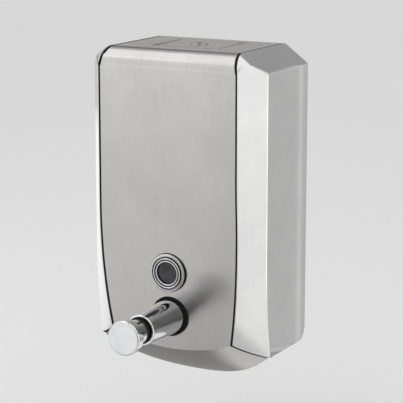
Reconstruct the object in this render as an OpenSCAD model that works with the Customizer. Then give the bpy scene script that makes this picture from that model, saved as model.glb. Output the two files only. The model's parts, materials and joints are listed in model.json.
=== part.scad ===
// Wall soap dispenser: satin steel case with bevelled side panels, lockable filler lid in the top,
// sight window and a horizontal push pump on a 0.8 litre tank.
// X is to the right, Y to the wall, Z up. The wall is y = 0, the middle of the wall screws is the origin.

/* [Case] */
// Width across the two side panels
body_w = 125; // [119:0.5:131]
// Depth from the wall to the flat of the front panel
body_d = 72.6; // [70:0.1:76]
// Height of the top above the middle of the wall screws
top_z = 90; // [87:0.5:95]
// Sheet thickness of the case
sheet = 1; // [0.8:0.1:1.2]
// Width of the black seam beside the front cover
seam = 1.1; // [0.6:0.1:1.4]
// Gap between the case and the wall
wall_gap = 0.6; // [0.3:0.1:1]
// Side bevel, measured across
bevel_x = 12.6; // [11:0.1:15]
// Side bevel, measured in depth
bevel_y = 16.3; // [14:0.1:18]
// Top bevel, measured across
crown_x = 16.1; // [15:0.1:17.5]
// Drop of the top bevel
top_bevel = 11.8; // [10:0.1:13]
// Outer radius of the bend between top and front
bend_r = 12; // [9:0.5:16]

/* [Lower case] */
// Height where the front panel starts to lean back
front_z = 17; // [5:1:30]
// Radius of the leaning front panel
front_r = 1190; // [900:10:1600]
// Height where the side bevel starts to turn in, at the seam
bevel_z = -8; // [-20:1:5]
// Radius of the turned in bevel
bevel_r = 145; // [130:1:180]
// Slope of the fold across the bevel
bevel_fold = 57.5; // [50:0.5:62]
// Radius of the rounded chin
chin_r = 96; // [94:0.2:98]
// Radius of the circle that the chin is swept round
chin_ring = 74; // [72.5:0.1:75.5]
// Distance of the chin's upright sweep axis behind the flat of the front panel
chin_reach = 148.7; // [147:0.1:150.4]
// Height of the chin's section centre
chin_mid = -34.9; // [-36.5:0.1:-33.5]
// Tilt of the chin where it meets the front panel
chin_tilt = 34; // [32:0.5:35]
// Radius of the belly across the width
belly_r = 90; // [88.5:0.1:91.5]
// Height of the belly's centre
belly_mid = -36.4; // [-38:0.1:-35]
// Rise of the belly towards the wall
belly_rise = 5; // [3.5:0.1:7]
// Radius of the underside towards the wall
rear_r = 17.5; // [15:0.5:20]
// Height of the side panels' lower edge
skirt_z = -103.2; // [-104.5:0.1:-102.6]
// Radius of the side panels' lower rear corner
skirt_r = 9; // [6:0.5:12]

/* [Filler lid] */
// Lid width
lid_w = 47; // [44:0.5:49]
// Lid depth
lid_d = 38.4; // [36:0.2:39]
// Middle of the lid and of its lock, in front of the wall
lid_y = -30; // [-31:0.1:-29]
// Gap round the lid
lid_gap = 0.5; // [0.4:0.05:0.8]
// Radius of the lid's corners
lid_r = 2; // [1:0.5:3]
// Hinge axis in front of the lid's rear edge
hinge_in = 8; // [7:0.2:9]
// Hinge axis below the top
hinge_drop = 3.2; // [3:0.1:3.6]
// Radius of a hinge pin
pin_r = 1.5; // [1.2:0.1:1.7]

/* [Lock] */
// Radius of the lock's flange
lock_r = 5.6; // [5.2:0.1:6.4]
// Radius of the turning plug
plug_r = 3.25; // [3:0.05:3.5]
// Reach of the locking tongue
cam_reach = 21.2; // [20.8:0.1:21.6]

/* [Sight window] */
// Height of the window
window_z = -50.8; // [-53:0.1:-49]
// Outer radius of the window ring
window_r = 12.4; // [11.8:0.1:13]
// Radius of the window lens
lens_r = 8.2; // [7.8:0.1:8.6]

/* [Pump] */
// Height of the pump axis
pump_z = -79.8; // [-81:0.1:-78.5]
// Outer radius of the black seat ring
seat_r = 12.9; // [12:0.05:13.5]
// Sleeve radius at the case
sleeve_r = 11.3; // [10.8:0.1:11.8]
// Sleeve radius behind its lip
sleeve_tip_r = 9.6; // [9.4:0.1:10.2]
// Sleeve length
sleeve_len = 36.7; // [35.5:0.1:38]
// Radius of the sliding neck
neck_r = 7.75; // [7.4:0.05:7.8]
// Length of neck in view at rest
neck_show = 12.9; // [12.2:0.1:15]
// Radius of the push knob
knob_r = 11; // [10:0.1:12.5]
// Thickness of the push knob
knob_t = 6.6; // [5.5:0.1:8]
// Stroke of the push knob
stroke = 11; // [8:0.5:11.5]

/* [Wall fixing] */
// Distance between the wall screws, across
screw_x = 56; // [50:1:60]
// Distance between the wall screws, up and down
screw_z = 90; // [84:1:94]
// Radius of a wall screw hole
screw_r = 2.75; // [2.5:0.05:3]
// Thickness of the wall bracket
bracket_t = 2; // [1.5:0.1:2.4]

/* [Hidden] */
$fn = 64;
fine = 180;
vast = 720;
far = 400;
cut = 10;
slip = 0.05;
press = 0.02;
loose = 0.1;
bow = 0.1;
half_w = body_w / 2;
lap = sheet + slip;
lap_w = 9;
seam_edge = 0.35;
seal_in = 0.1;
belly_y = -45;
fan_tip = 0.6;
fan_low = 25;
fan_high = 62;
bevel_turn = -atan2(bevel_x, bevel_y);
rear_low = -131;
rear_y = -wall_gap - rear_r;
rear_mid = rear_low + rear_r;

// Depth of the front surface at a height
function front_y(z) =
    z > front_z ? -body_d : front_r - body_d - sqrt(front_r * front_r - (front_z - z) * (front_z - z));

// Lean of the front surface at a height
function lean(z) = z > front_z ? 0 : asin((front_z - z) / front_r);

// Filler lid, its hinge and the frame below it
lid_t = 1.2;
lid_front = lid_y - lid_d / 2 - slip;
lid_mid = lid_front + lid_d / 2;
lid_rear = lid_front + lid_d;
hinge_y = lid_rear - hinge_in;
hinge_z = top_z - hinge_drop;
ear_x = 19.4;
ear_t = 1.6;
ear_r = 3;
pin_out = 0.8;
swing = 0.6;
frame_w = lid_w + 2 * lid_gap;
frame_d = lid_d + 2 * lid_gap + swing;
frame_mid = lid_mid + swing / 2;
frame_t = 1.5;
frame_z = top_z - 13.7;
frame_top = top_z - lap;
rim_x = 5;
rim_y = 2.5;
rim_t = 1.4;
ledge_w = 1.7;
ledge_t = 1.3;
ledge_top = top_z - lid_t - 0.2;
ledge_rear = hinge_y - ear_r - 2;
frame_gap = 0.3;

// Lock
flange_h = 0.6;
flange_edge = 0.3;
barrel_r = 4.5;
barrel_z = top_z - 12.5;
nut_r = 7.2;
nut_t = 3;
key_w = 1;
key_h = 4.2;
key_d = 6;
cam_z = frame_z - 0.25;
cam_t = 1.5;
cam_w = 7;
cam_tip = 1.5;
cam_step = 0.5;
cam_hub = 4.5;
thread_r = 1.3;
thread_len = 5.5;
head_r = 2.7;
head_t = 1.4;
drive_w = 0.8;

// Tank
tank_in = 6.5;
tank_t = 2;
tank_back = -15.5;
tank_drop = 22;
tank_top = top_z - tank_drop;
mouth_w = 40;
mouth_d = 26;
mouth_front = lid_y - 16;
collar_h = 3;
pad_w = 60;
pad_h = 10;
pad_drop = 90;
pad_top = tank_top - tank_t;

// Sight window
window_a = -front_y(window_z);
tube_r = lens_r + 1.2;
tube_len = 5;
seal_t = 1;
seal_out = 0.3;
bezel_t = 2.2;
bezel_lip = 2.2;
bezel_floor = 0.9;
bezel_edge = 1.6;
groove_mid = 9.2;
groove_in = 1;
groove_top = 1.1;
groove_low = 0.5;
bezel_cone = 1.5;
nut_in = 0.4;
nut_back = 4.4;
lens_t = 2.45;

// Pump, along its axis out of the front
pump_a = -front_y(pump_z);
seat_t = 1.3;
seat_a = pump_a + seat_t;
lip_a = seat_a + sleeve_len;
bead = 1.6;
guide_a = lip_a - 5;
recess = 2;
wiper_in = 0.4;
bore_r = 8.7;
neck_a = guide_a - 0.8;
face_a = lip_a + neck_show + knob_t;
outlet_a = face_a - knob_t / 2;
outlet_r = 1.7;
outlet_wall = 0.7;
outlet_out = 0.3;
stem_r = 3;
flow_r = 1.2;
cyl_r = 7.9;
cyl_front = seat_a + 6;
cyl_cap = 4;
cyl_bore = 5.5;
spacer_r = 12;
flange_a = pump_a - tank_in - tank_t - 2;
flange_t = 2.7;
flange_r = 12.5;
piston_a = cyl_front - 12.2;
piston_len = 8;
rod_in = 3;
groove_r = 3.85;
groove_a = piston_a + 3.1;
groove_w = 1.8;
seal_r = 0.8;
valve_a = piston_a - stroke - 11;
valve_r = 7.2;
ball_r = 2.5;
ball_lift = 1;
inlet_r = 1.8;
inlet_wall = 1.4;
inlet_t = 2;
cap_a = valve_a - 8.9;
cap_len = 6;
ball_a = cap_a + sqrt(ball_r * ball_r - inlet_r * inlet_r) + press;
port_r = 0.8;

// Back plate and wall bracket
plate_y = -8.2;
plate_t = 1.2;
plate_top = top_z - 16;
plate_side = 9;
tool_r = 6;
hook_x = 22;
hook_z = 30;
hook_w = 12;
hook_h = 9;
hook_t = 1.6;
hook_floor = 2;
hook_room = 2;
tab_z = -62;
bracket_w = 76;
bracket_edge = 13;
bracket_h = screw_z / 2 + bracket_edge - tab_z;
bracket_r = 4;
tab_y = -14;
tab_mid = -8.5;
tab_w = 20;
tab_t = 2.2;
bolt_r = 1.7;
bolt_len = 8;
bolt_head_r = 3.4;
bolt_head_t = 2.4;
bolt_key_r = 1.6;
access_r = 3.5;

// Square cut to a quarter disc, for rounded corners that meet along whole edges
module quarter(r, sx, sy)
    intersection() {
        circle(r);
        translate([sx < 0 ? -r : 0, sy < 0 ? -r : 0]) square(r);
    }

module round_rect(w, d, r) {
    square([w - 2 * r, d], center = true);
    square([w, d - 2 * r], center = true);
    for (sx = [-1, 1], sy = [-1, 1])
        translate([sx * (w / 2 - r), sy * (d / 2 - r)]) quarter(r, sx, sy);
}

// Turned pieces of the pump and the window: the profile's second axis points out of the front
module turned(z) translate([0, 0, z]) rotate([90, 0, 0]) rotate_extrude($fn = fine) children();

module ring(r0, r1, a0, a1) translate([r0, a0]) square([r1 - r0, a1 - a0]);

// Side view of the wrapped sheet, at a distance inside its outer face
module side_view(inset) {
    back = inset > 0 ? 5 : -wall_gap;
    translate([inset - body_d, front_z]) square([back + body_d - inset, top_z - bend_r - front_z]);
    translate([bend_r - body_d, top_z - bend_r]) square([back + body_d - bend_r, bend_r - inset]);
    translate([bend_r - body_d, top_z - bend_r]) quarter(bend_r - inset, -1, 1, $fn = fine);
    intersection() {
        translate([front_r - body_d, front_z]) circle(front_r - inset, $fn = vast);
        union() {
            translate([-body_d, rear_mid]) square([back + body_d, front_z - rear_mid]);
            translate([-body_d, rear_low - cut]) square([rear_y + body_d, rear_r + cut]);
        }
    }
    translate([rear_y, rear_mid]) quarter(rear_r - inset, 1, -1, $fn = fine);
}

// Section of the chin and underside, swept round an upright axis behind the wall
module chin_section(inset) {
    r = chin_r - inset;
    slope = chin_tilt + 3;
    meet = [chin_ring + (r - slip) * cos(chin_tilt), chin_mid - (r - slip) * sin(chin_tilt)];
    end = meet + far / 2 * [sin(slope), cos(slope)];
    translate([chin_ring, chin_mid]) quarter(r, 1, -1, $fn = fine);
    polygon([[0, -far], [chin_ring + 5, -far], [chin_ring + 5, chin_mid], meet, end, [end[0], far], [0, far]]);
}

module belly_section(inset) {
    r = belly_r - inset;
    intersection() {
        circle(r, $fn = fine);
        translate([-r, -r]) square([2 * r, r]);
    }
    translate([-r, 0]) square([2 * r, far]);
}

module chin(inset) translate([0, chin_reach - body_d, 0]) rotate_extrude($fn = vast) chin_section(inset);

// Space inside the wrapped sheet: top, front, chin and underside
module wrap(inset)
    intersection() {
        rotate([90, 0, 90]) linear_extrude(body_w + 2 * cut, center = true) side_view(inset);
        chin(inset);
        translate([0, belly_y, belly_mid]) rotate([90 + belly_rise, 0, 0]) linear_extrude(far, center = true)
            belly_section(inset);
    }

// Inner side of one bevel plane, which turns in about a sloping fold lower down
module bevel_side(inset)
    translate([half_w - bevel_x, -body_d, bevel_z]) rotate([0, 0, bevel_turn]) rotate([-bevel_fold, 0, 0])
        rotate([90, 0, 0]) linear_extrude(2 * far, center = true) {
            translate([-far, 0]) square([far - inset, far]);
            intersection() {
                translate([-bevel_r, 0]) circle(bevel_r - inset, $fn = vast);
                translate([-2 * bevel_r, -bevel_r]) square([2 * bevel_r, bevel_r]);
            }
        }

// Inner side of a plane that fans out from the mitre of the two bevels and touches the seam's bend
module fan_side(turn, inset) {
    corner = [half_w, bevel_y - body_d, top_z - top_bevel];
    tip = corner - fan_tip * [bevel_x, bevel_y, -top_bevel * bevel_x / crown_x];
    touch = [half_w - bevel_x - (crown_x - bevel_x) * turn / 90, bend_r * (1 - cos(turn)) - body_d,
        top_z - bend_r * (1 - sin(turn))];
    out = cross(tip - touch, [0, sin(turn), cos(turn)]);
    translate(touch) rotate([0, acos(out[2] / norm(out)), atan2(out[1], out[0])])
        translate([-far, -far, -2 * far - inset]) cube(2 * far);
}

// Inner side of one side's bevel and of the fan at its upper end
module bevels(inset)
    intersection() {
        bevel_side(inset);
        fan_side(fan_low, inset);
        fan_side(fan_high, inset);
    }

// Front view of the case: upright sides and bevels along the top edges
module front_view(inset) {
    slope = [top_bevel, crown_x] / norm([top_bevel, crown_x]);
    reach = slope * [half_w, top_z - top_bevel] - inset;
    side = half_w - inset;
    high = top_z + 20;
    shoulder = (reach - slope[0] * side) / slope[1];
    crown = (reach - slope[1] * high) / slope[0];
    polygon([[-side, -far], [side, -far], [side, shoulder], [crown, high], [-crown, high], [-side, shoulder]]);
}

// Space inside the side panels and their bevels
module flanks(inset)
    intersection() {
        rotate([90, 0, 0]) linear_extrude(far, center = true) front_view(inset);
        bevels(inset);
        mirror([1, 0, 0]) bevels(inset);
    }

// Space behind a plane that touches the leaning front panel at a height, or lies at a depth inside it
module behind_front(z, depth)
    translate([0, front_y(z), z]) rotate([lean(z), 0, 0]) translate([-far / 2, depth, -far / 2]) cube(far);

module along_pump(r, a0, a1, z = pump_z) translate([0, -a0, z]) rotate([90, 0, 0]) cylinder(r = r, h = a1 - a0);

module front_cover()
    color("silver")
        difference() {
            intersection() {
                wrap(0);
                flanks(seam_edge + seam);
            }
            wrap(sheet);
            translate([0, lid_mid, top_z - cut / 2]) linear_extrude(cut)
                round_rect(frame_w, lid_d + 2 * lid_gap, lid_r);
            along_pump(tube_r + slip, window_a - cut, window_a + cut, window_z);
            along_pump(cyl_r + loose, pump_a - cut, pump_a + cut);
            translate([0, tab_mid, rear_low - cut]) cylinder(r = access_r, h = 4 * cut);
        }

// Outer form of the side panels, whose level lower edge hides the belly
module panel_form()
    intersection() {
        rotate([90, 0, 90]) linear_extrude(body_w + 2 * cut, center = true)
            intersection() {
                side_view(0);
                union() {
                    translate([-2 * body_d, skirt_z]) square([2 * body_d - wall_gap - skirt_r, far]);
                    translate([-body_d, skirt_z + skirt_r]) square([body_d, far]);
                    translate([-wall_gap - skirt_r, skirt_z + skirt_r]) quarter(skirt_r, 1, -1);
                }
            }
        chin(0);
        flanks(0);
        translate([0, -wall_gap - far, -far / 2]) cube(far);
    }

// Room that the filler frame and a clearance take from the lips of the side panels
module frame_room()
    translate([0, frame_mid, frame_z]) linear_extrude(frame_top - frame_z)
        square([frame_w + 2 * (frame_t + rim_x + frame_gap), frame_d + 2 * (frame_t + rim_y + frame_gap)],
            center = true);

// One bevelled side panel: a thin edge beside the seam, and a lip that laps behind the front cover
module side_panel()
    color("gainsboro")
        difference() {
            panel_form();
            difference() {
                intersection() {
                    wrap(-loose);
                    flanks(seam_edge);
                }
                wrap(lap);
            }
            difference() {
                flanks(sheet);
                wrap(lap);
            }
            intersection() {
                wrap(lap + sheet);
                flanks(sheet);
            }
            flanks(lap_w);
            frame_room();
        }

// Black strip sunk in the seam between the front cover and a side panel
module seam_seal()
    color("black")
        difference() {
            intersection() {
                wrap(seal_in);
                flanks(seam_edge + slip);
                translate([0, -wall_gap - far, -far / 2]) cube(far);
            }
            wrap(lap - slip);
            flanks(seam_edge + seam - slip);
        }

module left_side_panel() mirror([1, 0, 0]) side_panel();

module right_side_panel() side_panel();

module left_seam_seal() mirror([1, 0, 0]) seam_seal();

module right_seam_seal() seam_seal();

// Back plate with folded sides, slots for the hooks and openings for a screwdriver
module back_plate() {
    w = half_w - sheet - slip;
    low = tab_z - tab_t;
    h = plate_top - low;
    slot_w = hook_w + 2 * hook_room;
    notch_w = tab_w + 2 * hook_room;
    color("lightgrey")
        difference() {
            union() {
                translate([-w, plate_y, low]) cube([2 * w, plate_t, h]);
                for (s = [-1, 1])
                    translate([s > 0 ? w - plate_t : -w, plate_y - plate_side, low])
                        cube([plate_t, plate_side + plate_t, h]);
                translate([-notch_w / 2, tab_y, low]) cube([notch_w, plate_y + plate_t - tab_y, tab_t]);
            }
            for (sx = [-1, 1]) {
                translate([sx * hook_x - slot_w / 2, plate_y - cut / 2, hook_z - cut])
                    cube([slot_w, cut, cut + hook_floor + loose]);
                for (sz = [-1, 1])
                    translate([sx * screw_x / 2, plate_y, sz * screw_z / 2]) rotate([90, 0, 0])
                        cylinder(r = tool_r, h = cut, center = true);
            }
            translate([-notch_w / 2, plate_y - slip, tab_z]) cube([notch_w, cut, hook_floor + hook_room]);
            translate([0, tab_mid, tab_z]) cylinder(r = bolt_r + 5 * loose, h = 2 * cut, center = true);
        }
}

// Wall bracket: screwed plate with two hooks, and a tab for the retaining screw
module wall_bracket()
    color("darkgrey")
        difference() {
            union() {
                translate([0, 0, tab_z + bracket_h / 2]) rotate([90, 0, 0]) linear_extrude(bracket_t)
                    round_rect(bracket_w, bracket_h, bracket_r);
                for (s = [-1, 1])
                    translate([s * hook_x - hook_w / 2, plate_y - 2 * loose - hook_t, hook_z]) {
                        cube([hook_w, hook_t + 2 * loose - plate_y - bracket_t / 2, hook_floor]);
                        cube([hook_w, hook_t, hook_h]);
                    }
                translate([-tab_w / 2, tab_y, tab_z + loose]) cube([tab_w, -tab_y - bracket_t / 2, hook_floor]);
            }
            for (sx = [-1, 1], sz = [-1, 1])
                translate([sx * screw_x / 2, 0, sz * screw_z / 2]) rotate([90, 0, 0])
                    cylinder(r = screw_r, h = cut, center = true);
            translate([0, tab_mid, tab_z]) cylinder(r = bolt_r + slip, h = cut, center = true);
        }

module retaining_screw()
    color("silver")
        translate([0, tab_mid, tab_z - tab_t - loose - bolt_head_t])
            difference() {
                union() {
                    cylinder(r = bolt_head_r, h = bolt_head_t);
                    cylinder(r = bolt_r, h = bolt_head_t + bolt_len);
                }
                cylinder(r = bolt_key_r, h = bolt_head_t, center = true, $fn = 6);
            }

// Collar below the opening, with a rim under the cover and a ledge that the lid rests on
module filler_frame() {
    hole_d = 2 * (hinge_y - lid_front - ledge_w);
    color("dimgray")
        difference() {
            union() {
                translate([0, frame_mid, frame_z]) linear_extrude(frame_top - frame_z)
                    round_rect(frame_w + 2 * frame_t, frame_d + 2 * frame_t, lid_r);
                translate([0, frame_mid, frame_top - rim_t]) linear_extrude(rim_t)
                    round_rect(frame_w + 2 * (frame_t + rim_x), frame_d + 2 * (frame_t + rim_y), 2 * lid_r);
            }
            difference() {
                translate([0, frame_mid, frame_z - cut / 2]) linear_extrude(2 * cut)
                    round_rect(frame_w, frame_d, lid_r);
                difference() {
                    translate([-frame_w, ledge_rear - far, ledge_top - ledge_t])
                        cube([2 * frame_w, far, ledge_t]);
                    translate([0, hinge_y, 0]) linear_extrude(far)
                        square([frame_w - 2 * ledge_w, hole_d], center = true);
                }
            }
            for (s = [-1, 1])
                translate([s * frame_w / 2, hinge_y, hinge_z]) rotate([0, 90, 0])
                    cylinder(r = pin_r + press, h = cut, center = true);
        }
}

module hinge_pins() {
    in_x = ear_x - pin_out;
    out_x = frame_w / 2 + frame_t + pin_out;
    color("silver")
        for (s = [0, 1])
            mirror([s, 0, 0]) translate([in_x, hinge_y, hinge_z]) rotate([0, 90, 0])
                cylinder(r = pin_r, h = out_x - in_x);
}

module filler_lid()
    color("silver")
        difference() {
            union() {
                translate([0, lid_mid, top_z - lid_t]) linear_extrude(lid_t) round_rect(lid_w, lid_d, lid_r);
                for (s = [-1, 1])
                    translate([s > 0 ? ear_x : -ear_x - ear_t, hinge_y, hinge_z]) {
                        rotate([0, 90, 0]) cylinder(r = ear_r, h = ear_t);
                        translate([0, -ear_r, 0]) cube([ear_t, 2 * ear_r, hinge_drop - lid_t / 2]);
                    }
            }
            translate([-half_w, hinge_y, hinge_z]) rotate([0, 90, 0]) cylinder(r = pin_r + slip, h = body_w);
            translate([0, lid_y, top_z]) cylinder(r = barrel_r + slip, h = cut, center = true);
        }

module lock_barrel()
    color("dimgray")
        translate([0, lid_y, 0]) rotate_extrude($fn = fine) {
            ring(plug_r + slip, barrel_r, barrel_z, top_z + flange_h / 2);
            translate([0, top_z])
                polygon([[plug_r + slip, press], [lock_r, press], [lock_r, flange_h - flange_edge],
                    [lock_r - flange_edge, flange_h], [plug_r + slip, flange_h]]);
        }

module lock_nut()
    color("dimgray")
        translate([0, lid_y, top_z - lid_t - press - nut_t])
            difference() {
                cylinder(r = nut_r, h = nut_t, $fn = 6);
                cylinder(r = barrel_r + press, h = cut, center = true);
            }

module lock_plug()
    color("black")
        translate([0, lid_y, 0])
            difference() {
                translate([0, 0, cam_z]) cylinder(r = plug_r, h = top_z + flange_h / 2 - cam_z);
                translate([-key_w / 2, -key_h / 2, top_z - key_d]) cube([key_w, key_h, cut]);
                translate([0, 0, cam_z]) cylinder(r = thread_r, h = 2 * thread_len, center = true);
            }

module lock_cam()
    color("darkgrey")
        translate([0, lid_y, cam_z - cam_t])
            difference() {
                union() {
                    cylinder(r = cam_hub, h = cam_t);
                    translate([0, -cam_w / 2, 0]) cube([cam_reach - cam_tip, cam_w, cam_t]);
                    translate([0, cam_step - cam_w / 2, 0]) cube([cam_reach, cam_w - 2 * cam_step, cam_t]);
                }
                cylinder(r = thread_r + 2 * loose, h = cut, center = true);
            }

module cam_screw()
    color("silver")
        translate([0, lid_y, cam_z - cam_t - press - head_t])
            difference() {
                union() {
                    cylinder(r = head_r, h = head_t);
                    cylinder(r = thread_r - press, h = head_t + thread_len);
                }
                cube([cut, drive_w, head_t], center = true);
            }

// Tank space at a distance inside the case
module tank_space(inset, back, top)
    intersection() {
        wrap(inset);
        flanks(inset);
        translate([-far / 2, back - far, top - far]) cube(far);
    }

module tank()
    color("white")
        difference() {
            union() {
                tank_space(tank_in, tank_back, tank_top);
                translate([-mouth_w / 2 - tank_t, mouth_front - tank_t, tank_top - tank_t])
                    cube([mouth_w + 2 * tank_t, mouth_d + 2 * tank_t, tank_t + collar_h]);
            }
            tank_space(tank_in + tank_t, tank_back - tank_t, tank_top - tank_t);
            translate([-mouth_w / 2, mouth_front, tank_top - cut]) cube([mouth_w, mouth_d, 2 * cut]);
            along_pump(cyl_r + loose, pump_a - tank_in - cut, pump_a);
        }

module tank_pads()
    color("dimgray")
        for (z = [pad_top, pad_top - pad_drop])
            translate([-pad_w / 2, tank_back + slip, z - pad_h])
                cube([pad_w, plate_y - tank_back - 2 * slip, pad_h]);

module window_seal()
    color("black")
        difference() {
            turned(window_z)
                ring(tube_r + loose, window_r + seal_out, window_a - 2 * seal_t, window_a + seal_t);
            behind_front(window_z, -press);
        }

// Chrome ring with a rounded rim, a groove, a coned lip over the lens and a tube through the cover
module window_bezel() {
    back = window_a + seal_t + press;
    front = back + bezel_t;
    mouth = lens_r - bezel_lip;
    color("silver")
        turned(window_z) {
            ring(lens_r, tube_r, window_a - tube_len, back + bezel_floor / 2);
            difference() {
                ring(mouth, window_r, back, front);
                translate([mouth, back + bezel_floor])
                    polygon([[-1, 0], [0, 0], [bezel_cone, bezel_t], [-1, bezel_t]]);
                translate([groove_mid, front])
                    polygon([[-groove_top, 0], [-groove_low, -groove_in], [groove_low, -groove_in],
                        [groove_top, 0]]);
                translate([window_r - bezel_edge, front - bezel_edge])
                    difference() {
                        square(2 * bezel_edge);
                        quarter(bezel_edge, 1, 1);
                    }
            }
        }
}

module window_lens()
    color([0.25, 0.25, 0.27, 0.6])
        turned(window_z) ring(0, lens_r - slip, window_a + seal_t - slip - lens_t, window_a + seal_t - slip);

module window_nut()
    color("dimgray")
        intersection() {
            turned(window_z) ring(tube_r + slip, window_r - nut_in, window_a - nut_back, window_a);
            behind_front(window_z, sheet + bow);
        }

module pump_seat()
    color("black")
        difference() {
            turned(pump_z) ring(cyl_r + loose, seat_r, pump_a - seat_t, seat_a);
            behind_front(pump_z, -press);
        }

// Tapered sleeve with a beaded lip, bored for the neck's head and reamed as its guide
module pump_sleeve() {
    base = seat_a + press;
    bead_r = bead / 2;
    bead_mid = sleeve_tip_r + bead_r / 2;
    color("silver")
        turned(pump_z)
            difference() {
                union() {
                    polygon([[0, base], [sleeve_r, base], [sleeve_r, base + 1], [sleeve_tip_r, lip_a - bead],
                        [0, lip_a - bead]]);
                    ring(0, bead_mid - bead_r, lip_a - bead, lip_a);
                    translate([bead_mid - bead_r, lip_a - bead_r])
                        intersection() {
                            circle(bead_r);
                            translate([0, -bead]) square(2 * bead);
                        }
                }
                ring(-1, neck_r + slip, base - 1, lip_a + 1);
                ring(-1, cyl_r + slip, base - 1, cyl_front);
                ring(-1, bore_r, cyl_front, guide_a);
                ring(-1, bore_r, lip_a - recess, lip_a + 1);
            }
}

// Black wiper in the sleeve's mouth, round the sliding neck
module neck_wiper()
    color("black")
        turned(pump_z) ring(neck_r + slip, bore_r - press, lip_a - recess + press, lip_a - wiper_in);

module pump_spacer()
    color("dimgray")
        difference() {
            intersection() {
                turned(pump_z) ring(cyl_r + loose, spacer_r, pump_a - cut, pump_a);
                behind_front(pump_z, sheet + bow);
            }
            behind_front(pump_z, tank_in - press);
        }

module tank_seal()
    color("black")
        intersection() {
            turned(pump_z) ring(cyl_r + loose, spacer_r, flange_a + press, pump_a);
            behind_front(pump_z, tank_in + tank_t + bow);
        }

// Cylinder with a flange inside the tank, a guide for the rod and three ports to the ball's cage
module pump_cylinder() {
    cage_end = ball_a + ball_r + ball_lift + loose;
    port_mid = ball_r - port_r - loose;
    color("whitesmoke")
        difference() {
            turned(pump_z)
                difference() {
                    union() {
                        ring(0, cyl_r, flange_a - flange_t, cyl_front - press);
                        ring(0, flange_r, flange_a - flange_t, flange_a);
                        ring(0, valve_r, cap_a + loose, flange_a);
                    }
                    ring(-1, cyl_bore, valve_a, cyl_front - cyl_cap);
                    ring(-1, stem_r + slip, valve_a, cyl_front + 1);
                    ring(-1, ball_r + loose, cap_a - 1, cage_end);
                }
            for (t = [0:120:240])
                translate([port_mid * sin(t), 0, port_mid * cos(t)]) along_pump(port_r, cap_a + 1, valve_a + 1);
        }
}

module inlet_cap()
    color("dimgray")
        turned(pump_z) {
            ring(inlet_r, valve_r + inlet_wall, cap_a - inlet_t, cap_a);
            ring(valve_r + press, valve_r + inlet_wall, cap_a - loose, cap_a + cap_len);
        }

module inlet_ball()
    color("silver")
        translate([0, -ball_a, pump_z]) sphere(r = ball_r, $fn = 48);

// Knob, neck and rod in one, with the soap's way to the outlet under the knob
module push_button() {
    edge = 1;
    fillet = 2;
    back = face_a - knob_t;
    color("silver")
        difference() {
            turned(pump_z) {
                ring(0, knob_r - edge, back, face_a);
                ring(0, knob_r, back + edge, face_a - edge);
                translate([knob_r - edge, face_a - edge]) quarter(edge, 1, 1);
                translate([knob_r - edge, back + edge]) quarter(edge, 1, -1);
                ring(0, neck_r, neck_a, back + loose);
                difference() {
                    ring(neck_r - loose, neck_r + fillet, back - fillet, back + loose);
                    translate([neck_r + fillet, back - fillet]) circle(fillet);
                }
                ring(0, stem_r, piston_a + rod_in, guide_a);
            }
            along_pump(flow_r, piston_a, outlet_a);
            translate([0, -outlet_a, pump_z - knob_r - 1]) cylinder(r = outlet_r, h = knob_r + 1);
        }
}

module outlet_nozzle()
    color("dimgray")
        translate([0, -outlet_a, pump_z - knob_r - outlet_out])
            difference() {
                cylinder(r = outlet_r - press, h = knob_r / 2);
                cylinder(r = outlet_r - outlet_wall, h = far, center = true);
            }

module piston()
    color("whitesmoke")
        turned(pump_z)
            difference() {
                ring(0, cyl_bore - slip, piston_a, piston_a + piston_len);
                ring(-1, flow_r, piston_a - 1, piston_a + rod_in);
                ring(-1, stem_r + press, piston_a + rod_in - press, piston_a + piston_len + 1);
                ring(groove_r, cyl_bore + 1, groove_a, groove_a + groove_w);
            }

module piston_seal()
    color("black")
        turned(pump_z) translate([cyl_bore - seal_r - press, groove_a + groove_w / 2]) circle(seal_r);

// Coil spring between the pump cylinder and the neck, one unbroken tube
module return_spring() {
    wire = 0.6;
    mid_r = 5.9;
    turns = 6.5;
    rings = 8;
    sides = 6;
    a0 = cyl_front + wire + loose;
    a1 = neck_a - wire - loose;
    pitch = (a1 - a0) / turns;
    count = turns * rings;
    echo(coil_gap = pitch - stroke / turns - 2 * wire);
    points = [for (i = [0:count], k = [0:sides - 1])
        let (t = 360 * i / rings, b = 360 * k / sides, r = mid_r + wire * cos(b))
        [r * cos(t), r * sin(t), a0 + (a1 - a0) * i / count + wire * sin(b)]];
    walls = [for (i = [0:count - 1], k = [0:sides - 1])
        let (j = (k + 1) % sides)
        [i * sides + k, i * sides + j, (i + 1) * sides + j, (i + 1) * sides + k]];
    ends = [[for (k = [sides - 1:-1:0]) k], [for (k = [0:sides - 1]) count * sides + k]];
    color("silver")
        translate([0, 0, pump_z]) rotate([90, 0, 0]) polyhedron(points, concat(walls, ends));
}

front_cover();
left_side_panel();
right_side_panel();
left_seam_seal();
right_seam_seal();
back_plate();
wall_bracket();
retaining_screw();
filler_frame();
filler_lid();
hinge_pins();
lock_barrel();
lock_nut();
lock_plug();
lock_cam();
cam_screw();
tank();
tank_pads();
window_seal();
window_bezel();
window_lens();
window_nut();
pump_seat();
pump_sleeve();
neck_wiper();
pump_spacer();
tank_seal();
pump_cylinder();
inlet_cap();
inlet_ball();
push_button();
outlet_nozzle();
piston();
piston_seal();
return_spring();
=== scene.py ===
import json
import math

import bmesh
import bpy
from mathutils import Matrix, Vector

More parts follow.
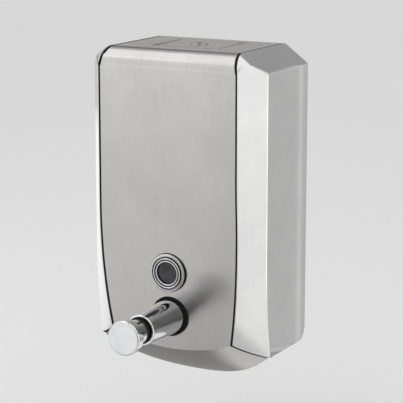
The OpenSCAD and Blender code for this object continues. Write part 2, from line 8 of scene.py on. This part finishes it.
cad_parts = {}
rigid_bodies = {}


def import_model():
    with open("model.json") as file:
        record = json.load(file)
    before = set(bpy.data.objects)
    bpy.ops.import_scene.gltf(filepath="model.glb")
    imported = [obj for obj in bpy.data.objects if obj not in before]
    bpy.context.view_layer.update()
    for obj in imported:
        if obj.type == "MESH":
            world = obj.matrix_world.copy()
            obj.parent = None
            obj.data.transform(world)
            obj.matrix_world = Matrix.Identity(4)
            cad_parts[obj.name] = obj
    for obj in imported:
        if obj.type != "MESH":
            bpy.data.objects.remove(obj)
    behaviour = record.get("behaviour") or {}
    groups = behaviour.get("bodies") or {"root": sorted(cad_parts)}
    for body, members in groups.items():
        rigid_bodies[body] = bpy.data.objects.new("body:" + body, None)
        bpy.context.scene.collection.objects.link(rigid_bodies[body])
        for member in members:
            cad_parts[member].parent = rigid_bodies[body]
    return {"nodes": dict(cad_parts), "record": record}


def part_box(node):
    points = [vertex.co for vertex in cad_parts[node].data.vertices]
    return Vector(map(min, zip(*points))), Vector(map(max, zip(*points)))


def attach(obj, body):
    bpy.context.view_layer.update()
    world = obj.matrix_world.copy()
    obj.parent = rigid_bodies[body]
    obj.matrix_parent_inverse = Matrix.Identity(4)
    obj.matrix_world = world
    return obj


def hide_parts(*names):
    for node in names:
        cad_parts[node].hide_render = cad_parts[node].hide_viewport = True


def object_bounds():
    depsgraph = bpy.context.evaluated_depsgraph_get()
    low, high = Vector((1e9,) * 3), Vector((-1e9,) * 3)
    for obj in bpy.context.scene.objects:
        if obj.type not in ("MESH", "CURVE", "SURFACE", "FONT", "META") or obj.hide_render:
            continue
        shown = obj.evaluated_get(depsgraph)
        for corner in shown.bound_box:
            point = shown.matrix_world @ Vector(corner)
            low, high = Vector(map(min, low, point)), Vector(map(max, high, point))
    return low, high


for old in list(bpy.data.objects):
    bpy.data.objects.remove(old)

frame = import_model()
cad_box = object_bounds()
scene = bpy.context.scene
body_of_node = {n: b for b, nodes in frame["record"]["behaviour"]["bodies"].items() for n in nodes}
slot_of_node = {p["node"]: p["material_slot"] for p in frame["record"]["subparts"]}

# One millimetre in the frame's metres. Named sizes below are in millimetres and degrees.
MM = 0.001
HALF_WIDTH = cad_box[1][0] / MM
TOP = cad_box[1][2] / MM

# The bend over the front, and the seam beside it: the widths that it lies between, and the radius about the
# bend's axis that it lies outside of.
BEND_RADIUS = 12.0
BEND_Y = -60.6
SEAM_X = (HALF_WIDTH - 19.5, HALF_WIDTH - 9.5)
SEAM_RADIUS = 9.4

# Points of one seam edge: how far short of the bend's ends they stay, how alike their radius and width are,
# and how far apart they are in angle at least. The sweeps draw them into one curve.
BEND_END = 0.5
SAME_RADIUS = 0.15
SAME_WIDTH = 0.6
NEXT_POINT = 0.8
SEAM_SWEEPS = 900

# The corner of bend, top and bevel where a fan of small faces starts, how close to it a point is the tip, the
# largest of its faces in square mm, and how far forward the bends from it reach.
FAN_TIP = Vector((HALF_WIDTH - 7.6, -66.1, TOP - 6.9))
FAN_TIP_REACH = 0.3
FAN_FACE_AREA = 40.0
FAN_FRONT_Y = -70.0

# Side panels: the skin at the widest place, and the angles that an outer bend lies between. On every piece an
# edge that stays sharper than the last angle is a cut edge.
SIDE_SKIN = 0.2
BEND_ANGLES = (9, 66)
CUT_EDGE_ANGLE = 30

# Filler lid: the width and depth of its two side edges, and how far each is drawn in.
LID_SIDE = 1.9
LID_DEPTH = 1.3
SLOT_WIDENED = 1.1

# Push button's neck: the length in front of the sleeve's mouth that is painted black as shade, a radius
# just over the neck's, and the steepest slope of a face that counts as its round.
SHADED_NECK_LENGTH = 4.0
NECK_REACH = 8.3
NECK_SLOPE = 0.3

# Points and faces of a CAD mesh that differ by less than this are one.
SAME_POINT = 0.004
SAME_PLANE = 0.4

# Turned pieces: sides of the round, and the angle beyond which an edge is sharp.
TURNED_SIDES = 128
TURNED_SHARP_ANGLE = 32

# Stage, in metres: the floor's height and the point that lamps and cards face.
FLOOR_Z = -0.19
AIM = Vector((0, -0.04, -0.02))


# Colour and nodes

def srgb(code):
    """Linear colour of an sRGB hex code."""
    parts = [int(code[i:i + 2], 16) / 255 for i in (0, 2, 4)]
    return [p / 12.92 if p <= 0.04045 else ((p + 0.055) / 1.055) ** 2.4 for p in parts] + [1.0]


def add(tree, kind, links=(), **settings):
    """One node with its settings and links; a setting is a ramp's stops, a property or an input by name."""
    node = tree.nodes.new(kind)
    for key, value in settings.items():
        if key == "stops":
            for stop, (place, code) in zip(node.color_ramp.elements, value):
                stop.position = place
                stop.color = srgb(code)
        elif key in node.bl_rna.properties:
            setattr(node, key, value)
        else:
            node.inputs[key.replace("_", " ")].default_value = value
    for socket, source in links:
        tree.links.new(source, node.inputs[socket])
    return node


def new_material(name):
    """An empty material, its node tree and its output node."""
    made = bpy.data.materials.new(name)
    made.use_nodes = True
    made.node_tree.nodes.clear()
    return made, made.node_tree, add(made.node_tree, "ShaderNodeOutputMaterial")


def per_m(size_mm):
    """Noise scale, in cells per metre, of a pattern with this cell size."""
    return 1.0 / (size_mm * MM)


# Materials

def satin_steel():
    """Stainless steel sheet, satin brushed along the sheet: a soft even sheen with hairlines that run
    over the top and down the front, drawn about 0.4 mm wide so that they show."""
    made, tree, out = new_material("satin_stainless_steel")
    place = add(tree, "ShaderNodeTexCoord").outputs["Object"]
    lines = add(tree, "ShaderNodeMapping", [("Vector", place)],
                Scale=(per_m(0.4), per_m(26), per_m(26)))
    hair = add(tree, "ShaderNodeTexNoise", [("Vector", lines.outputs["Vector"])],
               Scale=1.0, Detail=5.0, Roughness=0.65)
    cloud = add(tree, "ShaderNodeTexNoise", [("Vector", place)],
                Scale=per_m(28), Detail=3.0, Roughness=0.55)
    both = add(tree, "ShaderNodeMix", [("A", hair.outputs["Fac"]), ("B", cloud.outputs["Fac"])],
               Factor=0.45)
    tone = add(tree, "ShaderNodeValToRGB", [("Fac", both.outputs["Result"])],
               stops=((0.3, "aeada9"), (0.7, "bbbab7")))
    rough = add(tree, "ShaderNodeMapRange", [("Value", both.outputs["Result"])],
                From_Min=0.3, From_Max=0.7, To_Min=0.27, To_Max=0.22)
    relief = add(tree, "ShaderNodeBump", [("Height", hair.outputs["Fac"])],
                 Strength=0.12, Distance=0.02 * MM)
    skin = add(tree, "ShaderNodeBsdfPrincipled",
               [("Base Color", tone.outputs["Color"]), ("Roughness", rough.outputs["Result"]),
                ("Normal", relief.outputs["Normal"])], Metallic=1.0)
    tree.links.new(skin.outputs["BSDF"], out.inputs["Surface"])
    return made


def polished_steel():
    """Stainless steel sheet, fine polished: clear, slightly soft reflections with a faint buffing haze."""
    made, tree, out = new_material("polished_stainless_steel")
    place = add(tree, "ShaderNodeTexCoord").outputs["Object"]
    haze = add(tree, "ShaderNodeTexNoise", [("Vector", place)],
               Scale=per_m(22), Detail=4.0, Roughness=0.6)
    lines = add(tree, "ShaderNodeMapping", [("Vector", place)],
                Scale=(per_m(0.5), per_m(0.5), per_m(40)))
    buff = add(tree, "ShaderNodeTexNoise", [("Vector", lines.outputs["Vector"])],
               Scale=1.0, Detail=4.0)
    both = add(tree, "ShaderNodeMix", [("A", haze.outputs["Fac"]), ("B", buff.outputs["Fac"])],
               Factor=0.4)
    tone = add(tree, "ShaderNodeValToRGB", [("Fac", both.outputs["Result"])],
               stops=((0.3, "c6c6c5"), (0.7, "d0d0cf")))
    rough = add(tree, "ShaderNodeMapRange", [("Value", both.outputs["Result"])],
                From_Min=0.3, From_Max=0.7, To_Min=0.21, To_Max=0.15)
    skin = add(tree, "ShaderNodeBsdfPrincipled",
               [("Base Color", tone.outputs["Color"]), ("Roughness", rough.outputs["Result"])],
               Metallic=1.0)
    tree.links.new(skin.outputs["BSDF"], out.inputs["Surface"])
    return made


def plain_metal(name, dark, light, roughness, cell_mm):
    """A bare or plated metal whose tone and gloss drift a little over the surface."""
    made, tree, out = new_material(name)
    place = add(tree, "ShaderNodeTexCoord").outputs["Object"]
    drift = add(tree, "ShaderNodeTexNoise", [("Vector", place)],
                Scale=per_m(cell_mm), Detail=5.0, Roughness=0.6)
    tone = add(tree, "ShaderNodeValToRGB", [("Fac", drift.outputs["Fac"])],
               stops=((0.35, dark), (0.65, light)))
    rough = add(tree, "ShaderNodeMapRange", [("Value", drift.outputs["Fac"])],
                From_Min=0.3, From_Max=0.7, To_Min=roughness[0], To_Max=roughness[1])
    skin = add(tree, "ShaderNodeBsdfPrincipled",
               [("Base Color", tone.outputs["Color"]), ("Roughness", rough.outputs["Result"])],
               Metallic=1.0)
    tree.links.new(skin.outputs["BSDF"], out.inputs["Surface"])
    return made


def moulded(name, dark, light, roughness, grain_mm, relief_mm, sheen=0.5):
    """A moulded plastic or rubber with a fine grain from its mould."""
    made, tree, out = new_material(name)
    place = add(tree, "ShaderNodeTexCoord").outputs["Object"]
    grain = add(tree, "ShaderNodeTexNoise", [("Vector", place)],
                Scale=per_m(grain_mm), Detail=4.0, Roughness=0.6)
    tone = add(tree, "ShaderNodeValToRGB", [("Fac", grain.outputs["Fac"])],
               stops=((0.35, dark), (0.65, light)))
    rough = add(tree, "ShaderNodeMapRange", [("Value", grain.outputs["Fac"])],
                From_Min=0.3, From_Max=0.7, To_Min=roughness[0], To_Max=roughness[1])
    relief = add(tree, "ShaderNodeBump", [("Height", grain.outputs["Fac"])],
                 Strength=0.3, Distance=relief_mm * MM)
    skin = add(tree, "ShaderNodeBsdfPrincipled",
               [("Base Color", tone.outputs["Color"]), ("Roughness", rough.outputs["Result"]),
                ("Normal", relief.outputs["Normal"])], IOR=1.5, Specular_IOR_Level=sheen)
    tree.links.new(skin.outputs["BSDF"], out.inputs["Surface"])
    return made


def smoked_lens():
    """Clear acrylic disc over the tank wall, with a hard clear gloss; its near black colour is painted
    shade of the tank wall, which lies in the unlit inside.
    """
    made, tree, out = new_material("acrylic_painted_inside_shade")
    place = add(tree, "ShaderNodeTexCoord").outputs["Object"]
    depth = add(tree, "ShaderNodeTexNoise", [("Vector", place)], Scale=per_m(7), Detail=2.0)
    tone = add(tree, "ShaderNodeValToRGB", [("Fac", depth.outputs["Fac"])],
               stops=((0.35, "1c1c1f"), (0.65, "34343a")))
    skin = add(tree, "ShaderNodeBsdfPrincipled", [("Base Color", tone.outputs["Color"])],
               Roughness=0.06, IOR=1.49)
    tree.links.new(skin.outputs["BSDF"], out.inputs["Surface"])
    return made


finishes = {
    "satin_steel": satin_steel(),
    "polished_steel": polished_steel(),
    # Thin bright plating on turned brass: sharp reflections, light and dark close together.
    "chrome": plain_metal("chrome_plated_brass", "d4d5d6", "dddedf", (0.04, 0.08), cell_mm=9),
    # Galvanised sheet: dull cloudy grey.
    "zinc_steel": plain_metal("zinc_plated_steel", "9da0a3", "b9bcbe", (0.32, 0.45), cell_mm=6),
    # Turned screws and pins: a blurred bright grey.
    "bright_fixings": plain_metal("bright_steel", "b4b4b4", "c6c6c6", (0.2, 0.3), cell_mm=2),
    # Cast lock with plating: warm soft grey.
    "lock_metal": plain_metal("nickel_plated_zinc", "a3a19d", "b1afab", (0.24, 0.32), cell_mm=2),
    # Moulded seals: deep black with hardly any sheen.
    "black_rubber": moulded("black_rubber", "070707", "0f0f0f", (0.6, 0.75),
                            grain_mm=0.8, relief_mm=0.03, sheen=0.2),
    # Moulded plastic rings: black with a weak satin sheen.
    "black_plastic": moulded("black_polypropylene", "0d0d0e", "161617", (0.4, 0.5),
                             grain_mm=0.6, relief_mm=0.02, sheen=0.3),
    # Blown tank without dye: milky white with a waxy sheen.
    "tank_plastic": moulded("natural_polyethylene", "dedcd4", "e9e7e0", (0.4, 0.5),
                            grain_mm=4, relief_mm=0.05),
    # Moulded pump pieces: clean white, smooth and a little glossy.
    "white_acetal": moulded("white_acetal", "e4e3de", "edece8", (0.28, 0.36),
                            grain_mm=2, relief_mm=0.01),
    # The lens's near black is painted shade of the unlit inside behind the clear acrylic.
    "smoked_lens": smoked_lens(),
}


# Pieces

def mesh_of(shape, name):
    """A named mesh of a shape that is done."""
    mesh = bpy.data.meshes.new(name)
    shape.to_mesh(mesh)
    shape.free()
    return mesh


def stand_for(piece, node):
    """Puts a piece in the place of a CAD node, with the node's finish and on its body."""
    scene.collection.objects.link(piece)
    piece.data.materials.append(finishes[slot_of_node[node]])
    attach(piece, body_of_node[node])
    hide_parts(node)


def bend_place(vert):
    """Angle in degrees and radius in mm of a point about the axis of the bend over the front."""
    rise = vert.co.z / MM - (TOP - BEND_RADIUS)
    ahead = BEND_Y - vert.co.y / MM
    return math.degrees(math.atan2(rise, ahead)), math.hypot(rise, ahead)


def at_fan_tip(vert):
    """Whether a point is where the fan starts, on either side of the object."""
    on_right = Vector((abs(vert.co.x), vert.co.y, vert.co.z)) / MM
    return (on_right - FAN_TIP).length < FAN_TIP_REACH


def outer_bend(edge):
    """Whether an edge is at a side panel's widest place, or leaves the fan's tip but not down the front."""
    outside = all(abs(v.co.x) > (HALF_WIDTH - SIDE_SKIN) * MM for v in edge.verts)
    from_tip = any(at_fan_tip(v) for v in edge.verts)
    return outside or from_tip and all(v.co.y > FAN_FRONT_Y * MM for v in edge.verts)


def seam_points(shape):
    """Points of the seam's edges in the bend, each with its angle and the next points below and above."""
    places = {v: bend_place(v) for v in shape.verts if SEAM_X[0] < abs(v.co.x) / MM < SEAM_X[1]}
    places = {v: (turn, radius) for v, (turn, radius) in places.items()
              if radius > SEAM_RADIUS and -BEND_END < turn < 90 + BEND_END}
    points = []
    for vert, (turn, radius) in places.items():
        near = [e.other_vert(vert) for e in vert.link_edges]
        near = [(places[o][0], o) for o in near if o in places
                and abs(places[o][1] - radius) < SAME_RADIUS
                and abs(o.co.x - vert.co.x) < SAME_WIDTH * MM]
        below = [pair for pair in near if pair[0] < turn - NEXT_POINT]
        above = [pair for pair in near if pair[0] > turn + NEXT_POINT]
        if BEND_END < turn < 90 - BEND_END and below and above:
            points.append((vert, turn, below[0], above[0]))
    return points


def smooth_fan(shape):
    """Parts the small faces at the fan's tip into triangles that all start there."""
    for face in list(shape.faces):
        tips = [v for v in face.verts if at_fan_tip(v)]
        if tips and face.calc_area() < FAN_FACE_AREA * MM * MM:
            loop = list(face.verts)
            start = loop.index(tips[0])
            loop = loop[start:] + loop[:start]
            shape.faces.remove(face)
            for a, b in zip(loop[1:], loop[2:]):
                if shape.faces.get((loop[0], a, b)) is None:
                    shape.faces.new((loop[0], a, b))


def even_seam(shape):
    """Draws the seam over the bend as one even curve, where the CAD joins it from flat faces, and turns
    those faces into a smooth fan."""
    points = seam_points(shape)
    for _ in range(SEAM_SWEEPS):
        for vert, turn, (low, before), (high, after) in points:
            vert.co.x = before.co.x + (after.co.x - before.co.x) * (turn - low) / (high - low)
    smooth_fan(shape)


def open_slots(shape):
    """Draws in the lid's two sides, so that the slots beside it are as wide as the photo shows."""
    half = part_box("filler_lid")[1][0]
    for vert in shape.verts:
        if abs(vert.co.x) > half - LID_SIDE * MM and vert.co.z > (TOP - LID_DEPTH) * MM:
            vert.co.x -= math.copysign(SLOT_WIDENED * MM, vert.co.x)


def neck_painted_shade(shape):
    """Parts the push knob's neck a little in front of the sleeve, and gives what lies behind its second
    finish, black plastic: painted shade, a dark ring that stands in for the shade between knob and sleeve."""
    low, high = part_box("pump_sleeve")
    axis_z = (low[2] + high[2]) / 2
    start = low[1] - SHADED_NECK_LENGTH * MM
    bmesh.ops.bisect_plane(shape, geom=shape.verts[:] + shape.edges[:] + shape.faces[:],
                           dist=0.001 * MM, plane_co=(0, start, 0), plane_no=(0, 1, 0))
    for face in shape.faces:
        along_neck = abs(face.normal.y) < NECK_SLOPE
        reach = max(math.hypot(v.co.x, v.co.z - axis_z) for v in face.verts)
        if along_neck and reach < NECK_REACH * MM and face.calc_center_bounds().y > start:
            face.material_index = 1


def edges_rounded(node, edge_mm, bend_mm=0.0, shaped=None):
    """The finished piece of a CAD node: its own shape with every cut edge broken, and the bends of a
    sheet rounded to a real bending radius."""
    source = frame["nodes"][node]
    shape = bmesh.new()
    shape.from_mesh(source.data)
    shape.transform(source.matrix_world)
    bmesh.ops.remove_doubles(shape, verts=shape.verts, dist=SAME_POINT * MM)
    bmesh.ops.dissolve_limit(shape, angle_limit=math.radians(SAME_PLANE), verts=shape.verts,
                             edges=shape.edges)
    if shaped:
        shaped(shape)
        shape.normal_update()
    if bend_mm:
        bends = [e for e in shape.edges if len(e.link_faces) == 2 and outer_bend(e)
                 and BEND_ANGLES[0] < math.degrees(e.calc_face_angle(0.0)) < BEND_ANGLES[1]]
        bmesh.ops.bevel(shape, geom=bends, offset=bend_mm * MM, offset_type="OFFSET", segments=4,
                        profile=0.5, affect="EDGES", clamp_overlap=False)
    weight = shape.edges.layers.float.new("bevel_weight_edge")
    for edge in shape.edges:
        if len(edge.link_faces) == 2 and math.degrees(edge.calc_face_angle(0.0)) > CUT_EDGE_ANGLE:
            edge[weight] = 1.0
    for face in shape.faces:
        face.smooth = True
    name = node + "_finished"
    piece = bpy.data.objects.new(name, mesh_of(shape, name))
    bevel = piece.modifiers.new("broken_edges", "BEVEL")
    bevel.limit_method = "WEIGHT"
    bevel.width = edge_mm * MM
    bevel.segments = 3
    bevel.miter_outer = "MITER_ARC"
    even = piece.modifiers.new("even_shading", "WEIGHTED_NORMAL")
    even.weight = 100
    stand_for(piece, node)
    return piece


def arc(r, out, radius, start, end, steps):
    """Points of a round in a turned piece's profile; angles in degrees from straight outwards of its axis."""
    turns = [math.radians(start + (end - start) * i / (steps - 1)) for i in range(steps)]
    return [(r + radius * math.cos(t), out + radius * math.sin(t)) for t in turns]


def turned(name, node, profile, back, height):
    """A turned piece that stands for a CAD node: its closed profile, of radius and distance out of the front
    in mm, swept round an axis along the depth at this height."""
    shape = bmesh.new()
    rounds = [math.tau * k / TURNED_SIDES for k in range(TURNED_SIDES)]
    rings = [[shape.verts.new((r * MM * math.cos(t), back - out * MM, height + r * MM * math.sin(t)))
              for t in rounds] for r, out in profile]
    for here, there in zip(rings, rings[1:] + rings[:1]):
        for k in range(TURNED_SIDES):
            j = (k + 1) % TURNED_SIDES
            shape.faces.new((here[k], here[j], there[j], there[k])).smooth = True
    bmesh.ops.recalc_face_normals(shape, faces=shape.faces)
    mesh = mesh_of(shape, name)
    mesh.set_sharp_from_angle(angle=math.radians(TURNED_SHARP_ANGLE))
    piece = bpy.data.objects.new(name, mesh)
    stand_for(piece, node)
    return piece


def window_ring():
    """Ring of the sight window: a level satin flange, two bright beads with dark grooves beside them, and
    the tube that goes through the cover. The grooves, the gap and the throat are a dark nickel grey that
    is painted shade: it stands in for the shade and dark reflections in these recesses.
    Its outline is in mm: radius, and distance out of the cover."""
    low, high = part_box("window_bezel")
    lens_low, lens_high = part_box("window_lens")
    rim = (high[0] - low[0]) / 2 / MM
    depth = (high[1] - low[1]) / MM
    front = 2.2
    tube_in = (lens_high[0] - lens_low[0]) / 2 / MM + 0.05
    tube_out = tube_in + 1.2
    mouth = tube_in - 1.15
    flange = arc(rim - 0.3, 0.8, 0.3, 0, 80, 4) + [(10.85, 1.25)]
    gap = [(10.75, 1.15), (10.6, 0.2), (9.95, 0.15), (9.75, 0.9)]
    outer_bead = arc(9.35, 1.45, 0.4, -20, 180, 9)
    groove = [(8.9, 0.6), (8.75, 0.3), (8.25, 0.3), (8.05, 0.7)]
    inner_bead = arc(7.65, 1.25, 0.4, 0, 180, 9)
    throat = [(mouth + 0.1, 0.7), (mouth, 0.15)]
    back = [(mouth, 0.0), (tube_in, 0.0), (tube_in, front - depth), (tube_out, front - depth),
            (tube_out, 0.0), (rim - 0.1, 0.0), (rim, 0.1)]
    # Finishes of the profile's parts; black, the third, is painted shade in the grooves, the gap and the
    # throat.
    chrome, satin, black = range(3)
    parts = ((back, chrome), (flange, satin), (gap, black), (outer_bead, chrome), (groove, black),
             (inner_bead, chrome), (throat, black))
    profile = [point for points, _ in parts for point in points]
    finish = [index for points, index in parts for _ in points]
    ring = turned("window_ring", "window_bezel", profile, low[1] + front * MM, (low[2] + high[2]) / 2)
    ring.data.materials.append(finishes["satin_steel"])
    # Dark nickel grey: painted shade of the grooves, the gap and the throat.
    ring.data.materials.append(plain_metal("nickel_grey_painted_recess_shade", "5a5a59", "686867", (0.16, 0.24),
                                           cell_mm=4))
    for i, face in enumerate(ring.data.polygons):
        face.material_index = finish[i // TURNED_SIDES]


window_ring()
edges_rounded("front_cover", edge_mm=0.14, shaped=even_seam)
for side in ("left", "right"):
    edges_rounded(side + "_side_panel", edge_mm=0.14, bend_mm=1.3, shaped=even_seam)
    edges_rounded(side + "_seam_seal", edge_mm=0.05, shaped=even_seam)
edges_rounded("filler_lid", edge_mm=0.25, shaped=open_slots)
push_button = edges_rounded("push_button", edge_mm=0.12, shaped=neck_painted_shade)
# Black plastic on the neck next to the sleeve: painted shade of the recess between knob and sleeve.
push_button.data.materials.append(finishes["black_plastic"])
for node, edge_mm in (("back_plate", 0.25), ("wall_bracket", 0.4), ("filler_frame", 0.3),
                      ("tank", 0.8), ("tank_pads", 0.8)):
    edges_rounded(node, edge_mm)
for node, source in frame["nodes"].items():
    source.data.materials.clear()
    source.data.materials.append(finishes[slot_of_node[node]])


# Stage, light and camera

def pale_floor():
    """A wide plain matt floor below the object, which hangs above it."""
    made, tree, out = new_material("pale_floor")
    place = add(tree, "ShaderNodeTexCoord").outputs["Object"]
    drift = add(tree, "ShaderNodeTexNoise", [("Vector", place)], Scale=2.0, Detail=2.0)
    tone = add(tree, "ShaderNodeValToRGB", [("Fac", drift.outputs["Fac"])],
               stops=((0.0, "f8f8f8"), (1.0, "fafafa")))
    skin = add(tree, "ShaderNodeBsdfPrincipled", [("Base Color", tone.outputs["Color"])],
               Roughness=0.9, Specular_IOR_Level=0.0)
    tree.links.new(skin.outputs["BSDF"], out.inputs["Surface"])
    shape = bmesh.new()
    bmesh.ops.create_circle(shape, cap_ends=True, segments=64, radius=12.0)
    mesh = mesh_of(shape, "floor")
    mesh.materials.append(made)
    floor = bpy.data.objects.new("floor", mesh)
    floor.location = (0, 0, FLOOR_Z)
    scene.collection.objects.link(floor)


def way_to(azimuth, elevation):
    """Direction from the object: azimuth 0 is straight out of its front, 90 its right."""
    turn, rise = math.radians(azimuth), math.radians(elevation)
    return Vector((math.sin(turn) * math.cos(rise), -math.cos(turn) * math.cos(rise), math.sin(rise)))


def turned_to(place, way):
    """Place and turn of a lamp or card whose axis lies along this direction."""
    return Matrix.Translation(place) @ Vector(way).to_track_quat("Z", "Y").to_matrix().to_4x4()


def softbox(name, azimuth, elevation, distance, size, radiance):
    """A flat lamp of one even brightness that faces the object."""
    data = bpy.data.lights.new(name, "AREA")
    data.shape = "RECTANGLE"
    data.size, data.size_y = size
    data.energy = radiance * math.pi * size[0] * size[1]
    lamp = bpy.data.objects.new(name, data)
    way = way_to(azimuth, elevation)
    lamp.matrix_world = turned_to(AIM + way * distance, way)
    scene.collection.objects.link(lamp)


def card(name, place, way, size, radiance):
    """A plain card out of view that the metal mirrors, as white and grey boards round a product do."""
    made, tree, out = new_material(name)
    glow = add(tree, "ShaderNodeEmission", Strength=radiance)
    tree.links.new(glow.outputs["Emission"], out.inputs["Surface"])
    shape = bmesh.new()
    bmesh.ops.create_grid(shape, x_segments=1, y_segments=1, size=0.5)
    bmesh.ops.scale(shape, vec=(size[0], size[1], 1), verts=shape.verts)
    mesh = mesh_of(shape, name)
    mesh.materials.append(made)
    board = bpy.data.objects.new(name, mesh)
    board.matrix_world = turned_to(place, way)
    board.visible_camera = board.visible_diffuse = board.visible_shadow = False
    scene.collection.objects.link(board)


def aimed_card(name, azimuth, elevation, distance, size, radiance):
    """A card at a direction and distance from the object, facing it."""
    way = way_to(azimuth, elevation)
    card(name, AIM + way * distance, way, size, radiance)


def floor_card(name, centre, size, radiance, lift_mm):
    """A card that lies level just over the floor; where two overlap, the higher one shows."""
    card(name, (centre[0], centre[1], FLOOR_Z + lift_mm * MM), (0, 0, 1), size, radiance)


def front_floor_cards():
    """White cards on the floor ahead, left of a slanting line, so that the front dims to the right."""
    left = -1.1
    slant = 0.37
    for step, (near, far) in enumerate(((0.2, 0.5), (0.5, 0.8), (0.8, 1.2), (1.2, 1.7))):
        right = -slant * (near + far) / 2
        floor_card("white_floor_card_front_%d" % step, ((left + right) / 2, -(near + far) / 2),
                   (right - left, far - near), radiance=1.04, lift_mm=4)


def surroundings():
    """Pale studio: one tone for what the eye, metal and glass see, one for the light it gives."""
    world = bpy.data.worlds.new("pale_studio")
    scene.world = world
    world.use_nodes = True
    tree = world.node_tree
    tree.nodes.clear()
    path = add(tree, "ShaderNodeLightPath").outputs
    first = add(tree, "ShaderNodeMath", [(0, path["Is Camera Ray"]), (1, path["Is Glossy Ray"])],
                operation="MAXIMUM")
    seen = add(tree, "ShaderNodeMath", [(0, first.outputs["Value"]), (1, path["Is Transmission Ray"])],
               operation="MAXIMUM")
    view = add(tree, "ShaderNodeBackground", Color=srgb("e2e2e3"), Strength=1.0)
    light = add(tree, "ShaderNodeBackground", Color=srgb("ffffff"), Strength=0.72)
    mix = add(tree, "ShaderNodeMixShader", [("Fac", seen.outputs["Value"]), (1, light.outputs["Background"]),
                                            (2, view.outputs["Background"])])
    add(tree, "ShaderNodeOutputWorld", [("Surface", mix.outputs["Shader"])])


def camera():
    """The photograph's view: 150 mm lens, 29 degrees to the right of the front and 12 degrees down."""
    data = bpy.data.cameras.new("camera")
    data.lens = 150.0
    data.sensor_width = 36.0
    data.sensor_fit = "HORIZONTAL"
    data.clip_start = 0.05
    data.clip_end = 60.0
    eye = bpy.data.objects.new("camera", data)
    yaw, pitch = math.radians(28.83), math.radians(11.96)
    right = Vector((math.cos(yaw), math.sin(yaw), 0))
    ahead = Vector((-math.sin(yaw) * math.cos(pitch), math.cos(yaw) * math.cos(pitch), -math.sin(pitch)))
    up = right.cross(ahead)
    turn = Matrix((right, up, -ahead)).transposed().to_4x4()
    eye.matrix_world = Matrix.Translation((0.5150, -0.9630, 0.2133)) @ turn
    scene.collection.objects.link(eye)
    scene.camera = eye


pale_floor()
surroundings()
camera()

# Lamps, then cards round the object: azimuth, elevation, distance, size and radiance. The front mirrors the
# cards ahead and to the left, the right bevel those on the right, and the top those behind.
softbox("right_strip_lamp", 104, -6, 0.5, (0.1, 0.24), 1.6)
softbox("upper_left_softbox", -72, 60, 0.9, (0.8, 0.5), 0.95)
aimed_card("white_card_front", -40, 5, 1.5, (1.0, 0.62), 1.42)
aimed_card("white_card_above", -38, 33, 1.5, (1.1, 0.8), 1.28)
aimed_card("white_card_right", 80, 12, 1.0, (0.7, 0.72), 1.36)
aimed_card("dark_card_right_front", 32, 4, 1.6, (1.1, 1.1), 0.27)
aimed_card("dark_card_left", -74, -4, 1.4, (0.9, 0.9), 0.3)
aimed_card("grey_card_behind", -178, 28, 1.3, (1.2, 0.7), 0.45)
aimed_card("dark_card_back_left", -141, 35, 1.2, (0.7, 0.34), 0.14)
aimed_card("grey_card_back_left", -146, 20, 1.3, (0.8, 0.9), 0.52)

# Cards on the floor: centre, size, radiance and height over the floor in mm.
front_floor_cards()
floor_card("white_floor_card_right", (0.737, -0.22), (1.1, 0.5), 1.24, 3)
floor_card("dark_floor_card", (-0.11, 0.02), (0.22, 0.34), 0.36, 4)
floor_card("dark_floor_card_right_front", (0.46, -1.05), (0.8, 1.1), 0.1, 4)
floor_card("dark_floor_card_pump", (0.21, -0.43), (0.34, 0.3), 0.04, 5)
floor_card("pale_floor_card_right", (0.16, -0.16), (0.1, 0.24), 0.76, 2)
floor_card("white_floor_card", (0.07, 0.0), (0.12, 0.3), 0.95, 4)
floor_card("white_floor_card_back_left", (-0.63, 0.58), (0.9, 1.1), 1.2, 3)
floor_card("grey_floor_card_behind", (0.55, 0.95), (1.2, 1.7), 0.67, 3)

# A card overhead and a narrow one behind the right side's rear edge: place, direction, size and radiance.
card("white_ceiling_card", (0.85, -0.3, 1.0), (0, 0, -1), (1.6, 1.8), 1.36)
card("pale_wall_strip", (0.0685, 0.002, -0.02), (0, 1, 0), (0.003, 0.24), 0.85)
scene.view_settings.view_transform = "Standard"
